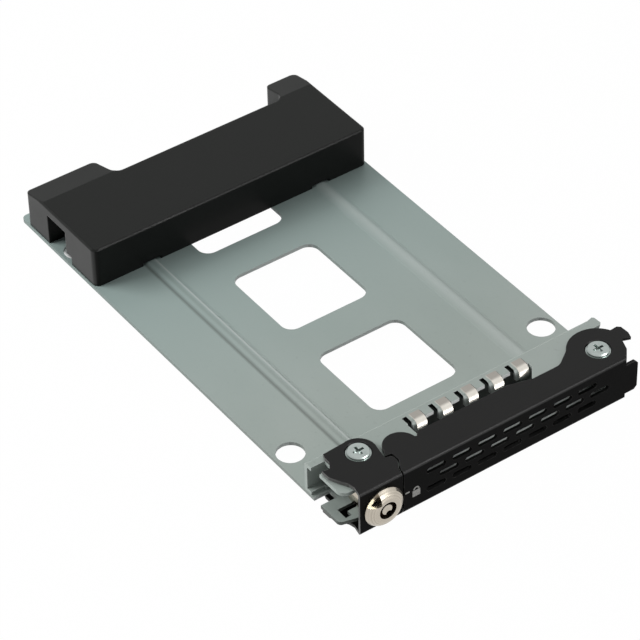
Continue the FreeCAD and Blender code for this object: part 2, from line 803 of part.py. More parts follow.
def lever():
    """The swinging front: a folded steel channel with a beak at the left and an ejector tooth at the right."""
    body = new_body("lever")
    x, y = "lever_pivot_x", "lever_pivot_y"
    corners = [
        ("seam_x", "face_front_y"),
        (f"{x} + face_right", "face_front_y"),
        (f"{x} + lever_waist * 0.85", f"{y} - lever_waist * 0.6"),
        (f"{x} + lever_waist", f"{y} - tooth_tip"),
        (f"{x} + lever_waist + 0.35", f"{y} - 0.35"),
        (f"{x} + tooth_reach - 0.45", f"{y} - tooth_tip"),
        (f"{x} + tooth_reach", f"{y} + 0.4"),
        (f"{x} + tooth_reach - 0.1", f"{y} + tooth_rear - 0.6"),
        (f"{x} + tooth_reach - 0.75", f"{y} + tooth_rear"),
        (f"{x} + lever_lobe - 0.65", f"{y} + tooth_rear - 0.1"),
        (x, f"{y} + lever_lobe / 2"),
        (f"{x} - lever_ramp_end", f"{y} + lever_ramp_end * 0.7"),
        (f"{x} - lever_ramp_start", f"{y} + lever_step_rear"),
        (f"{x} - lever_step_end", f"{y} + lever_step_rear"),
        (f"{x} - lever_step_start", f"{y} + lever_rear"),
        ("beak_x + beak_radius + 1.1", f"{y} + lever_rear"),
        ("beak_x + beak_radius + 0.4", "beak_y + 0.2"),
        ("beak_x", "beak_y + beak_radius / 2"),
        ("beak_x - beak_radius * 0.97", "beak_y + 0.8"),
        ("shoulder_x - seam_gap - beak_hook", f"{y} + beak_tip_rear"),
        ("shoulder_x", "latch_pivot_y - shoulder_rear + seam_gap * 0.3"),
        ("shoulder_x + 0.05", "latch_pivot_y - shoulder_front"),
        ("seam_x + 0.05", "latch_pivot_y - shoulder_foot"),
    ]
    base = folded_shell(body, corners)
    for place in (("beak_x", "beak_y", "beak_radius"), (x, y, "lever_lobe")):
        lobe = sketch_on(body, height="fold_low_z")
        rear_half_disc(lobe, *place)
        pad(body, lobe, "fold_high_z - fold_low_z")
    soften(body, "lever_waist * 0.5", spots(*corners_of(base, 12)))
    soften(body, "lever_step_rear", spots(*corners_of(base, 13)))
    hollow_fold(body)

    tab = sketch_on(body, "XZ_Plane", "-(face_front_y + fold_thickness)")
    side = f"{x} + face_right - 1.5"
    outline(tab, [
        (side, "face_tab_bottom_z"),
        (f"{x} + face_tab_right - fold_thickness", "face_tab_bottom_z"),
        (f"{x} + face_tab_right", "face_tab_bottom_z + fold_thickness"),
        (f"{x} + face_tab_right", "face_tab_top_z - fold_thickness"),
        (f"{x} + face_tab_right - fold_thickness", "face_tab_top_z"),
        (side, "face_tab_top_z"),
    ])
    pad(body, tab, "fold_thickness")
    journal_holes(body, (x, y))
    air_slots(body)
    return body


def rear_half_disc(sketch, across, along, radius):
    """The rear half of a disc, closed by a line through its centre."""
    centre = FreeCAD.Vector(size(across), size(along), 0)
    round_edge = Part.Circle(centre, FreeCAD.Vector(0, 0, 1), size(radius))
    arc = sketch.addGeometry(Part.ArcOfCircle(round_edge, 0, math.pi))
    reach = FreeCAD.Vector(size(radius), 0, 0)
    line = sketch.addGeometry(Part.LineSegment(centre - reach, centre + reach))
    fix(sketch, "DistanceX", arc, 3, centre.x, across)
    fix(sketch, "DistanceY", arc, 3, centre.y, along)
    sketch.addConstraint(Sketcher.Constraint("Coincident", arc, 2, line, 1))
    sketch.addConstraint(Sketcher.Constraint("Coincident", line, 2, arc, 1))
    sketch.addConstraint(Sketcher.Constraint("Horizontal", line))
    sketch.addConstraint(Sketcher.Constraint("PointOnObject", arc, 3, line))
    limit = sketch.addConstraint(Sketcher.Constraint("Radius", arc, size(radius)))
    sketch.setExpression(f"Constraints[{limit}]", bound(radius))


def air_slots(body):
    """Three staggered rows of long air slots through the lever's face."""
    for row in range(3):
        slot = sketch_on(body, "XZ_Plane", "-(face_front_y + fold_thickness / 2)")
        start = "slot_first_x" if row != 1 else "slot_first_x + slot_pitch / 2"
        low = f"slot_rows_z + {row} * slot_row_pitch - slot_height / 2"
        for number in range(SLOTS_PER_ROW):
            left = f"{start} + {number} * slot_pitch"
            right = f"{left} + slot_length"
            bevel = "slot_height * 0.3"
            outline(slot, [
                (f"{left} + {bevel}", low),
                (f"{right} - {bevel}", low),
                (right, f"{low} + slot_height / 2"),
                (f"{right} - {bevel}", f"{low} + slot_height"),
                (f"{left} + {bevel}", f"{low} + slot_height"),
                (left, f"{low} + slot_height / 2"),
            ])
        pocket(body, slot, "fold_thickness + 0.2")


def latch_bracket():
    """The folded latch at the left: a rear hook outside, a shoulder that holds the lever's beak inside."""
    body = new_body("latch_bracket")
    x, y = "latch_pivot_x", "latch_pivot_y"
    corners = [
        (f"{x} - latch_left", "face_front_y"),
        (f"{x} + latch_right", "face_front_y"),
        (f"{x} + latch_right + 0.05", f"{y} - shoulder_foot"),
        (f"{x} + shoulder_reach", f"{y} - shoulder_front"),
        (f"{x} + shoulder_reach", f"{y} - shoulder_rear - 0.4"),
        (f"{x} + latch_right - 0.1", f"{y} - shoulder_rear - 0.05"),
        (f"{x} + latch_lobe * 0.98", f"{y} - latch_lobe * 0.2"),
        (x, f"{y} + latch_lobe / 2"),
        (f"{x} - latch_lobe * 0.08", f"{y} + latch_lobe * 0.98"),
        (f"{x} - latch_tail", f"{y} + latch_tail_rear"),
        (f"{x} - latch_tail - 0.35", f"{y} + latch_tail_rear - 1.1"),
        (f"{x} - latch_tail - 0.3", f"{y} + latch_tail_rear - 2.4"),
        (f"{x} - latch_tail - 0.6 - latch_bay_depth", f"{y} - 0.45"),
        (f"{x} - hook_reach + 1.1", f"{y} - 0.55"),
        (f"{x} - hook_reach", f"{y} - hook_tip_front"),
        (f"{x} - hook_reach + 0.05", f"{y} - hook_heel_front"),
        (f"{x} - latch_waist - 1.45", f"{y} - 4.1"),
        (f"{x} - latch_waist - 0.3", f"{y} - latch_waist_front + 1.3"),
        (f"{x} - latch_waist", f"{y} - latch_waist_front"),
    ]
    base = folded_shell(body, corners)
    lobe = sketch_on(body, height="fold_low_z")
    circle(lobe, x, y, "latch_lobe")
    pad(body, lobe, "fold_high_z - fold_low_z")
    soften(body, "seam_gap * 2", spots(*corners_of(base, 4)))
    hollow_fold(body)
    journal_holes(body, (x, y))

    window = sketch_on(body, "XZ_Plane", "-(face_front_y + fold_thickness / 2)")
    flat_circle(window, "barrel_radius + plug_gap", "barrel_flat + plug_gap")
    pocket(body, window, "fold_thickness + 0.2")
    return body


def flat_circle(sketch, radius, flat):
    """The lock barrel's section: a circle cut by two level flats, as a twelve-sided outline."""
    angles = [0, 15, 30]
    right = [(f"lock_x + ({radius}) * cos({angle} deg)", angle) for angle in angles]
    upper = [(text, f"lock_z + min({flat}; ({radius}) * sin({angle} deg))") for text, angle in right]
    edge = f"sqrt(({radius})^2 - ({flat})^2)"
    upper.append((f"lock_x + {edge}", f"lock_z + {flat}"))
    lower = [
        (f"lock_x + ({radius}) * cos({angle} deg)", f"lock_z - ({radius}) * sin({angle} deg)")
        for angle in (30, 15)
    ]
    mirror = [(f"lock_x - ({radius}) * cos({angle} deg)", f"lock_z + ({radius}) * sin({angle} deg)")
              for angle in (30, 15, 0, -15, -30)]
    outline(sketch, upper
            + [(f"lock_x - {edge}", f"lock_z + {flat}")]
            + mirror
            + [(f"lock_x - {edge}", f"lock_z - ({flat})"), (f"lock_x + {edge}", f"lock_z - ({flat})")]
            + lower)


def lock_turning(label, steps):
    """A body turned about the lock's axis from steps of radius, front depth and rear depth."""
    body = new_body(label)
    for radius, front, rear in steps:
        ring = sketch_on(body, "XZ_Plane", f"-({rear})")
        circle(ring, "lock_x", "lock_z", radius)
        pad(body, ring, f"{rear} - ({front})")
    return body


def lock_housing():
    """The fixed half of the lock: a domed bezel in front of the face, a flatted barrel behind it."""
    rim_front = "face_front_y - bezel_rim"
    nose = "face_front_y - bezel_front"
    dome = "(bezel_radius - bezel_nose_radius)"
    rise = "(bezel_front - bezel_rim)"
    body = new_body("lock_housing")
    bezel = sketch_on(body, height="lock_z")
    bezel.setExpression(".AttachmentOffset.Base.x", bound("lock_x"))
    outline(bezel, [
        ("0", nose),
        ("bezel_nose_radius", nose),
        (f"bezel_nose_radius + {dome} * 0.4", f"{nose} + {rise} * 0.16"),
        (f"bezel_nose_radius + {dome} * 0.75", f"{nose} + {rise} * 0.5"),
        ("bezel_radius", rim_front),
        ("bezel_radius", "face_front_y"),
        ("0", "face_front_y"),
    ])
    revolve(body, bezel)

    barrel = sketch_on(body, "XZ_Plane", "-barrel_rear_y")
    flat_circle(barrel, "barrel_radius", "barrel_flat")
    pad(body, barrel, "barrel_rear_y - face_front_y")
    groove = sketch_on(body, "XZ_Plane", "-groove_y")
    circle(groove, "lock_x", "lock_z", "barrel_radius + 1")
    circle(groove, "lock_x", "lock_z", "groove_radius")
    pocket(body, groove, "groove_width")
    middle = "-(barrel_rear_y + face_front_y - bezel_front) / 2"
    bore(body, [("lock_x", "lock_z")], "plug_radius + plug_gap", "30", "XZ_Plane", middle)

    corner = ("lock_x - notch_left", "lock_z + notch_up")
    notch = sketch_on(body, "XZ_Plane", f"-({rim_front} - 5)")
    rectangle(notch, "lock_x - bezel_radius - 1", corner[0], corner[1], "lock_z + bezel_radius + 1")
    pocket(body, notch, "10")
    well = sketch_on(body, "XZ_Plane", "-(face_front_y + notch_well - 5)")
    outline(well, [
        corner,
        (corner[0], "lock_z + barrel_radius * 0.91"),
        ("lock_x - barrel_radius * 0.66", "lock_z + barrel_radius * 0.74"),
        ("lock_x - barrel_radius * 0.85", corner[1]),
    ])
    pocket(body, well, "10")
    return body


def lock_clip():
    """The horseshoe clip that holds the barrel behind the face."""
    body = new_body("lock_clip")
    back = "face_front_y + fold_thickness + clip_thickness"
    disc = sketch_on(body, "XZ_Plane", f"-({back})")
    circle(disc, "lock_x", "lock_z", "clip_radius")
    pad(body, disc, "clip_thickness")
    middle = f"-({back} - clip_thickness / 2)"
    hole = sketch_on(body, "XZ_Plane", middle)
    flat_circle(hole, "barrel_radius + plug_gap", "barrel_flat + plug_gap")
    pocket(body, hole, "2 * clip_thickness")
    foot = sketch_on(body, "XZ_Plane", middle)
    rectangle(foot, "lock_x - 9", "lock_x + 9", "lock_z - 9", "fold_gap")
    pocket(body, foot, "2 * clip_thickness")
    return body


def lock_plug():
    """The turning core: a round plug with the keyway's centre post in front and a stub for the cam behind."""
    nose = "face_front_y - bezel_front"
    floor = f"{nose} + keyway_depth"
    stub_rear = "barrel_rear_y + plug_gap + cam_thickness"
    body = lock_turning("lock_plug", [
        ("plug_radius", floor, "barrel_rear_y"),
        ("key_post_radius", f"{nose} + key_post_set", floor),
        ("stub_radius", "barrel_rear_y", stub_rear),
    ])
    bite = sketch_on(body, "XZ_Plane", f"-({nose} + key_post_set)")
    circle(bite, "lock_x + key_post_radius / 3", "lock_z - key_post_radius", "key_bite_radius")
    pocket(body, bite, "2 * (keyway_depth - key_post_set)")
    return body


def lock_cam():
    """The short cam on the plug's rear stub, upright while the lock is open."""
    body = new_body("lock_cam")
    front = "barrel_rear_y + plug_gap"
    rear = f"{front} + cam_thickness"
    disc = sketch_on(body, "XZ_Plane", f"-({rear})")
    circle(disc, "lock_x", "lock_z", "plug_radius")
    pad(body, disc, "cam_thickness")
    arm = sketch_on(body, "XZ_Plane", f"-({rear})")
    rectangle(arm, "lock_x - plug_radius", "lock_x + plug_radius * 0.4", "lock_z", "lock_z + cam_reach")
    pad(body, arm, "cam_thickness")
    bore(body, [("lock_x", "lock_z")], "stub_radius", "3", "XZ_Plane", f"-({rear})")
    return body


def build():
    """Make every sub-part."""
    left, right = PIVOTS
    screws = block_screw_places()
    made = [tray_plate(), front_channel(), rear_block(), lever(), latch_bracket()]
    made += [contact_finger(number) for number in range(FINGER_COUNT)]
    made += [block_screw("block_screw_left", screws[0]), block_screw("block_screw_right", screws[1])]
    made += [pivot_post("latch_post", left), pivot_post("lever_post", right)]
    made += [pivot_screw_top("latch_screw_top", left), pivot_screw_top("lever_screw_top", right)]
    made += [pivot_screw_bottom("latch_screw_bottom", left), pivot_screw_bottom("lever_screw_bottom", right)]
    made += [lock_housing(), lock_clip(), lock_plug(), lock_cam()]
    return made


def check_and_write(parts):
    """Stop on any failed object or bad shape, then write one file for each sub-part."""
    document.recompute()
    for item in document.Objects:
        if "Invalid" in item.State or "Error" in item.State:
            raise RuntimeError(f"{item.Name} failed: {item.State}")
    os.makedirs("parts", exist_ok=True)
    for part in parts:
        if part.Shape.isNull() or not part.Shape.isValid():
            raise RuntimeError(f"{part.Label} has no valid shape")
        if len(part.Shape.Solids) != 1:
            raise RuntimeError(f"{part.Label} has {len(part.Shape.Solids)} solids")
    for part in parts:
        part.Shape.exportStep(os.path.join("parts", f"{part.Label}.step"))
        print(f"{part.Label}: {part.Shape.Volume:.2f} mm3")


check_and_write(build())
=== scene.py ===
"""Looks of the hard drive tray: materials, printed marks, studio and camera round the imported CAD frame."""

import json
import math

import bmesh
import bpy
from mathutils import Matrix, Vector


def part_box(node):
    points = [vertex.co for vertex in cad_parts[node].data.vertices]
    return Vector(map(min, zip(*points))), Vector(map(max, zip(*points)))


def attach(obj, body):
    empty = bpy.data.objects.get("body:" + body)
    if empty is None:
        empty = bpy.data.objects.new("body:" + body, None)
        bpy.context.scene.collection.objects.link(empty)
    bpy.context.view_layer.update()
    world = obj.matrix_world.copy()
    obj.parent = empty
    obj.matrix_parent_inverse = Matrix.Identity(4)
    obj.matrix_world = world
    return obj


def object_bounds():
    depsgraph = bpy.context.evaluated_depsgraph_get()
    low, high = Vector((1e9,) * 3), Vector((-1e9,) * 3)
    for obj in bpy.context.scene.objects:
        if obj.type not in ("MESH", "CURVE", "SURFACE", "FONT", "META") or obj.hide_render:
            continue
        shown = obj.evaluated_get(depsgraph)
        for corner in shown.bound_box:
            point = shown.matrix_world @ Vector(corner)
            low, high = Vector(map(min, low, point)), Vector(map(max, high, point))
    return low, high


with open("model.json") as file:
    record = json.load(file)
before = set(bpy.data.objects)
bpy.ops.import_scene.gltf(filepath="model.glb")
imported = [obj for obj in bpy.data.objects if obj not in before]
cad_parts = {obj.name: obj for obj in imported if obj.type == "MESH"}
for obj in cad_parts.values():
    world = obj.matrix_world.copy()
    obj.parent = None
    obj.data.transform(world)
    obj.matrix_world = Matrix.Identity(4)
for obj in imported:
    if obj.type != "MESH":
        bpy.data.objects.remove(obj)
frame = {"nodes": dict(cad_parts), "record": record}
cad_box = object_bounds()
scene = bpy.context.scene
nodes = frame["nodes"]

MM = 0.001
WHITE = (1.0, 1.0, 1.0, 1.0)


# Places on the tray, in millimetres: a range is two places along X, Y or Z


def about(place, reach):
    """The range that reaches equally far to both sides of a place."""
    return place - reach, place + reach


def middle(node, axis):
    """The middle of a node's box along an axis."""
    low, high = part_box(node)
    return (low[axis] + high[axis]) / 2 / MM


CLOSE = 0.1
STEEL = 0.8
LOWEST, JUST_ABOVE_PLATE, HIGHEST = -2.0, 0.01, 20.0
WALL_REAR, SHELF_TOP = (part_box("front_channel")[1][axis] / MM for axis in (1, 2))
RECESS_DEPTH = 3.2

PLATE_LEVEL = (LOWEST, 0.0)
PLATE_AND_RIM_LEVEL = (LOWEST, JUST_ABOVE_PLATE)
OVER_PLATE_LEVEL = (JUST_ABOVE_PLATE, HIGHEST)
BEAD_LEVEL = (JUST_ABOVE_PLATE, 0.7)
SHELF_LEVEL = (SHELF_TOP - STEEL - CLOSE, SHELF_TOP + CLOSE)
EARS_Y = (-30.0, -14.0)
WINDOWS_Y = (-14.0, 95.0)
TOWARDS_REAR_Y = (32.0, 200.0)
TOWARDS_REAR_BLEND = 30.0
BEHIND_SLOTS_X, BEHIND_SLOTS_Y = (-19.0, 27.0), (-22.0, -15.0)

WALL_FRONT_Y = about(WALL_REAR - STEEL, CLOSE)
RECESS_X = (-12.6, 17.0)
RECESS_EDGE_Y = about(WALL_REAR - RECESS_DEPTH, CLOSE)
RELIEFS_Y = (-13.15, -11.0)
FLAPS_Y, FLAPS_LEVEL = (-14.0, -13.15), (4.6, 6.9)

LEFT_BEAD, RIGHT_BEAD = -20.6, 22.2
BEAD_REACH = 2.4
BEADS_Y = (WALL_REAR, 68.0)
BEADS_END_BLEND = 0.5

LATCH_LIT_SIDE_X = (-45.0, -29.0)
LOCK_X, LOCK_Z = middle("lock_plug", 0), middle("lock_plug", 2)
KEYWAY_RADIUS = 1.97
KEYWAY_Y = (-25.9, -20.0)


# Where a surface faces: its normal's share of an axis, which is 1 or -1 straight along the axis

PAST_WHOLE = 1.1
FRONT_FACES = ("Y", -PAST_WHOLE, -0.5)
LEFT_FACES = ("X", -PAST_WHOLE, -0.5)
UPRIGHT_FACES = ("Z", -0.5, 0.5)


# Colours

SHEET_ZINC = (0.268, 0.306, 0.285)
CLOUD_ZINC = (0.317, 0.351, 0.332)
SPECK_ZINC = (0.219, 0.242, 0.230)
# Painted shade and reflection of the black block: a darker, cooler zinc tone towards the rear
SHADED_REAR_ZINC = (0.239, 0.301, 0.288)
# Painted highlight and painted shade for the zinc's edges, channel and beads
PAINTED_LIGHT_ZINC = (0.48, 0.51, 0.50)
PAINTED_SHADE_ZINC = (0.045, 0.05, 0.045)
# Painted highlight for the shelf's cut front
PAINTED_HIGHLIGHT_CUT = (0.68, 0.70, 0.69)
LIT_THROUGH_SLOTS = (0.55, 0.58, 0.56)
DEEP_SHADE = (0.004, 0.004, 0.004)

MOULDED_BLACK = (0.0062, 0.0068, 0.0062)
MOULDED_GRAIN = (0.012, 0.013, 0.012)
# Painted highlight for the moulded edges
MOULDED_EDGE_HIGHLIGHT = (0.014, 0.014, 0.013)
PAINT_BLACK = (0.0062, 0.0062, 0.0060)
# Painted highlight for the latch's left-facing faces
PAINT_LEFT_HIGHLIGHT = (0.08, 0.08, 0.078)
# A light edge line, partly wear and partly painted highlight
PAINT_WEAR_AND_HIGHLIGHT = (0.16, 0.16, 0.155)

SCREW_ZINC, DULL_SCREW = (0.36, 0.40, 0.385), (0.20, 0.23, 0.22)
POST_STEEL, DULL_POST = (0.30, 0.30, 0.29), (0.20, 0.20, 0.19)
SPRING_STEEL, DULL_SPRING = (0.26, 0.25, 0.24), (0.16, 0.155, 0.14)
LOCK_NICKEL = (0.50, 0.455, 0.385)
LOCK_RINGS = (0.33, 0.295, 0.245)
# Painted shade for the keyway and for the lock's up-facing faces
LOCK_KEYWAY_SHADE = (0.13, 0.085, 0.045)
LOCK_NOTCH_SHADE = (0.16, 0.16, 0.13)
FINGER_NICKEL = (0.56, 0.535, 0.485)
# Painted shade for the fingers' top faces
FINGER_TOP_SHADE = (0.20, 0.185, 0.165)
MARK_INK = (0.42, 0.42, 0.40)
WORN_INK = (0.12, 0.12, 0.115)


# Node helpers


def math_node(tree, operation, first, second):
    """The result of an operation on two outputs or numbers."""
    made = tree.nodes.new("ShaderNodeMath")
    made.operation = operation
    for socket, value in zip(made.inputs, (first, second)):
        if isinstance(value, (int, float)):
            socket.default_value = value
        else:
            tree.links.new(value, socket)
    return made.outputs[0]


def background_rays(tree):
    """High for the rays that show the white background: straight, mirrored or through glass."""
    path = tree.nodes.new("ShaderNodeLightPath")
    total = path.outputs["Is Camera Ray"]
    for ray in ("Is Glossy Ray", "Is Transmission Ray"):
        total = math_node(tree, "MAXIMUM", total, path.outputs[ray])
    return total


def mix_into(tree, output, factor, first, second):
    """Send two shaders, mixed by a factor, to an output node."""
    blend = tree.nodes.new("ShaderNodeMixShader")
    for socket, source in zip(blend.inputs, (factor, first, second)):
        tree.links.new(source, socket)
    tree.links.new(blend.outputs["Shader"], tree.nodes[output].inputs["Surface"])


class Shader:
    """One procedural material with its node tree, built step by step. Lengths are in millimetres."""

    def __init__(self, name, color, roughness, metallic=0.0, specular=0.5):
        self.material = bpy.data.materials.new(name)
        self.material.use_nodes = True
        self.tree = self.material.node_tree
        self.surface = self.tree.nodes["Principled BSDF"]
        self.color = (*color, 1.0)
        self.roughness = roughness
        self.surface.inputs["Base Color"].default_value = self.color
        self.surface.inputs["Roughness"].default_value = roughness
        self.surface.inputs["Metallic"].default_value = metallic
        self.surface.inputs["Specular IOR Level"].default_value = specular
        self.height = None
        self.place = self.node("ShaderNodeTexCoord").outputs["Object"]

    def node(self, kind, **settings):
        made = self.tree.nodes.new(kind)
        for key, value in settings.items():
            setattr(made, key, value)
        return made

    def link(self, output, target):
        self.tree.links.new(output, target)

    def geometry(self, output):
        return self.node("ShaderNodeNewGeometry").outputs[output]

    def noise(self, scale, detail=2.0, stretch=(1.0, 1.0, 1.0)):
        """Noise whose features are about 1 / scale metres across, longer along a small stretch value."""
        mapping = self.node("ShaderNodeMapping")
        mapping.inputs["Scale"].default_value = stretch
        self.link(self.place, mapping.inputs["Vector"])
        noise = self.node("ShaderNodeTexNoise")
        noise.inputs["Scale"].default_value = scale
        noise.inputs["Detail"].default_value = detail
        self.link(mapping.outputs["Vector"], noise.inputs["Vector"])
        return noise.outputs["Fac"]

    def ramp(self, value, source, result=(0.0, 1.0)):
        """A value mapped from one range to another, without going past it."""
        spread = self.node("ShaderNodeMapRange", clamp=True)
        self.link(value, spread.inputs["Value"])
        for socket, number in zip(("From Min", "From Max", "To Min", "To Max"), (*source, *result)):
            spread.inputs[socket].default_value = number
        return spread.outputs["Result"]

    def window(self, value, start, end, blend):
        """High between two values, with soft ends."""
        rise = self.ramp(value, about(start, blend))
        fall = self.ramp(value, about(end, blend), (1.0, 0.0))
        return self.both(rise, fall)

    def math(self, operation, first, second):
        return math_node(self.tree, operation, first, second)

    def both(self, *masks):
        """The product of several masks."""
        product = masks[0]
        for mask in masks[1:]:
            product = self.math("MULTIPLY", product, mask)
        return product

    def either(self, first, second):
        """The sum of two masks that don't overlap."""
        return self.math("ADD", first, second)

    def parts_of(self, vector):
        """The three components of a vector."""
        split = self.node("ShaderNodeSeparateXYZ")
        self.link(vector, split.inputs[0])
        return split.outputs

    def facing(self, axis, start, end, blend=0.05):
        """A mask that is high where the surface's own normal has a share of an axis between two values."""
        return self.window(self.parts_of(self.geometry("True Normal"))[axis], start, end, blend)

    def zone(self, axis, places, blend=0.04):
        """A mask that is high in a range of places along an axis."""
        return self.window(self.parts_of(self.place)[axis], *(place * MM for place in places), blend * MM)

    def rounded_normal(self, radius, samples):
        """The normal as if every edge were rounded."""
        bevel = self.node("ShaderNodeBevel", samples=samples)
        bevel.inputs["Radius"].default_value = radius * MM
        return bevel.outputs["Normal"]

    def edges(self, radius):
        """A mask that is high along the surface's edges, within a radius."""
        dot = self.node("ShaderNodeVectorMath", operation="DOT_PRODUCT")
        self.link(self.rounded_normal(radius, samples=6), dot.inputs[0])
        self.link(self.geometry("Normal"), dot.inputs[1])
        return self.ramp(dot.outputs["Value"], (0.98, 0.80))

    def tint(self, mask, color, strength=1.0):
        """Blend the base colour towards another one where the mask is high."""
        mix = self.node("ShaderNodeMix", data_type="RGBA")
        socket = self.surface.inputs["Base Color"]
        if socket.is_linked:
            self.link(socket.links[0].from_socket, mix.inputs["A"])
        else:
            mix.inputs["A"].default_value = self.color
        mix.inputs["B"].default_value = (*color, 1.0)
        self.link(self.both(mask, strength), mix.inputs["Factor"])
        self.link(mix.outputs["Result"], socket)

    def roughen(self, mask, change):
        """Add to the roughness where the mask is high."""
        socket = self.surface.inputs["Roughness"]
        self.link(self.math("ADD", self.both(mask, change), self.roughness), socket)

    def gloss(self, mask, base, change):
        """Shift the strength of the clear reflection from a base where the mask is high."""
        socket = self.surface.inputs["Specular IOR Level"]
        self.link(self.math("ADD", self.both(mask, change), base), socket)

    def round_off(self, radius):
        """Shade every edge as if it were rounded."""
        self.height = self.rounded_normal(radius, samples=8)

    def flatten(self, mask):
        """Turn the shading normal towards straight up where the mask is high."""
        blend = self.node("ShaderNodeMix", data_type="VECTOR")
        self.link(mask, blend.inputs[0])
        self.link(self.geometry("Normal"), blend.inputs[4])
        blend.inputs[5].default_value = (0.0, 0.0, 1.0)
        self.height = blend.outputs[1]

    def bump(self, value, depth, strength):
        """Raise the surface by a value, on top of the bumps and the rounding that it has."""
        bump = self.node("ShaderNodeBump")
        bump.inputs["Distance"].default_value = depth * MM
        bump.inputs["Strength"].default_value = strength
        self.link(value, bump.inputs["Height"])
        if self.height is not None:
            self.link(self.height, bump.inputs["Normal"])
        self.height = bump.outputs["Normal"]
        self.link(self.height, self.surface.inputs["Normal"])


# Zinc-coated sheet


def zinc_sheet():
    """Satin zinc-coated sheet: faint clouds and fine rolling grain along the tray, with painted light and
    shade on the edges, the channel and the beads, and a darker painted shade towards the rear.
    """
    shader = Shader("zinc_sheet", SHEET_ZINC, 0.42, metallic=0.12, specular=0.2)
    clouds = shader.noise(45.0, detail=4.0, stretch=(1.0, 0.55, 1.0))
    specks = shader.noise(900.0)
    shader.tint(shader.ramp(clouds, (0.42, 0.68)), CLOUD_ZINC, 0.55)
    shader.tint(shader.ramp(specks, (0.62, 0.8)), SPECK_ZINC, 0.35)
    shader.roughen(shader.ramp(clouds, (0.3, 0.7), (-1.0, 1.0)), 0.06)
    # Painted shade and reflection of the black block: darker and cooler towards the rear
    shader.tint(shader.zone("Y", TOWARDS_REAR_Y, TOWARDS_REAR_BLEND), SHADED_REAR_ZINC)
    zinc_edges(shader)
    zinc_channel(shader)
    zinc_beads(shader)
    shader.bump(shader.noise(2600.0, detail=3.0, stretch=(1.0, 0.12, 1.0)), depth=0.012, strength=0.35)
    shader.bump(shader.noise(120.0), depth=0.06, strength=0.12)
    return shader.material


def zinc_edges(shader):
    """Painted light and shade on cut faces and rims: pale highlights along the channel and in the windows,
    painted shade along the plate, on its ears and on left-facing faces in the windows.
    """
    plate = shader.zone("Z", PLATE_LEVEL)
    windows = shader.zone("Y", WINDOWS_Y)
    ears = shader.zone("Y", EARS_Y)
    rims = shader.edges(radius=0.12)
    # Painted highlights on rims above the plate and on front cut faces in the windows; painted shade on the
    # plate's rims, the ears' upright faces and left-facing faces in the windows
    shader.tint(shader.both(rims, shader.zone("Z", OVER_PLATE_LEVEL)), PAINTED_LIGHT_ZINC)
    shader.tint(shader.both(rims, shader.zone("Z", PLATE_AND_RIM_LEVEL)), PAINTED_SHADE_ZINC, 0.45)
    shader.tint(shader.both(shader.facing(*FRONT_FACES), plate, windows), PAINTED_LIGHT_ZINC, 0.8)
    shader.tint(shader.both(shader.facing(*UPRIGHT_FACES), plate, ears), PAINTED_SHADE_ZINC, 0.85)
    shader.tint(shader.both(shader.facing(*LEFT_FACES), plate, windows), PAINTED_SHADE_ZINC, 0.4)


def zinc_channel(shader):
    """Painted light and shade about the front channel: behind the slots, in its recess and along its shelf.
    """
    behind_slots = shader.both(shader.zone("X", BEHIND_SLOTS_X), shader.zone("Y", BEHIND_SLOTS_Y))
    shader.tint(shader.both(behind_slots, shader.zone("Z", about(0.0, CLOSE))), LIT_THROUGH_SLOTS)
    recess = shader.zone("X", RECESS_X)
    shaded_wall = shader.both(shader.facing(*FRONT_FACES), shader.zone("Y", WALL_FRONT_Y), recess)
    # Painted shade on the front face of the channel's wall in the recess
    shader.tint(shaded_wall, PAINTED_SHADE_ZINC, 0.85)
    # Painted highlight on the shelf's cut front
    shader.tint(shelf_front(shader), PAINTED_HIGHLIGHT_CUT, 0.9)
    flaps = shader.both(shader.zone("Y", FLAPS_Y), shader.zone("Z", FLAPS_LEVEL), recess)
    # Painted highlight on the flaps' left-facing faces
    shader.tint(shader.both(flaps, shader.facing(*LEFT_FACES)), PAINTED_LIGHT_ZINC, 0.6)
    reliefs = shader.both(recess, shader.zone("Y", RELIEFS_Y), shader.zone("Z", SHELF_LEVEL))
    shader.tint(shader.both(shader.facing(*UPRIGHT_FACES), reliefs), DEEP_SHADE)


def shelf_front(shader):
    """The shelf's cut front between the flaps."""
    level = shader.zone("Z", SHELF_LEVEL)
    return shader.both(shader.facing(*FRONT_FACES), level, shader.zone("Y", RECESS_EDGE_Y))


def zinc_beads(shader):
    """The pressed beads, softened: painted shade and highlight in the creases of the left one, a painted
    highlight on the crown of the right one.
    """
    beads = shader.either(*(shader.zone("X", about(bead, BEAD_REACH)) for bead in (LEFT_BEAD, RIGHT_BEAD)))
    raised = shader.both(shader.zone("Z", BEAD_LEVEL), beads, 0.9)
    shader.flatten(shader.either(raised, shader.both(shelf_front(shader), 0.6)))
    on_plate = shader.zone("Y", BEADS_Y, BEADS_END_BLEND)
    # Painted shade and highlights in the left bead's creases, a painted highlight on the right bead's crown
    creases = (
        (about(LEFT_BEAD - 1.6, 0.25), 0.3, PAINTED_SHADE_ZINC, 0.65),
        (about(LEFT_BEAD - 0.15, 0.35), 0.2, PAINTED_SHADE_ZINC, 0.16),
        (about(LEFT_BEAD + 0.75, 0.15), 0.2, PAINTED_LIGHT_ZINC, 0.6),
        (about(RIGHT_BEAD - 0.1, 1.1), 0.8, PAINTED_LIGHT_ZINC, 0.27),
    )
    for places, blend, color, strength in creases:
        shader.tint(shader.both(on_plate, shader.zone("X", places, blend)), color, strength)


# Black parts


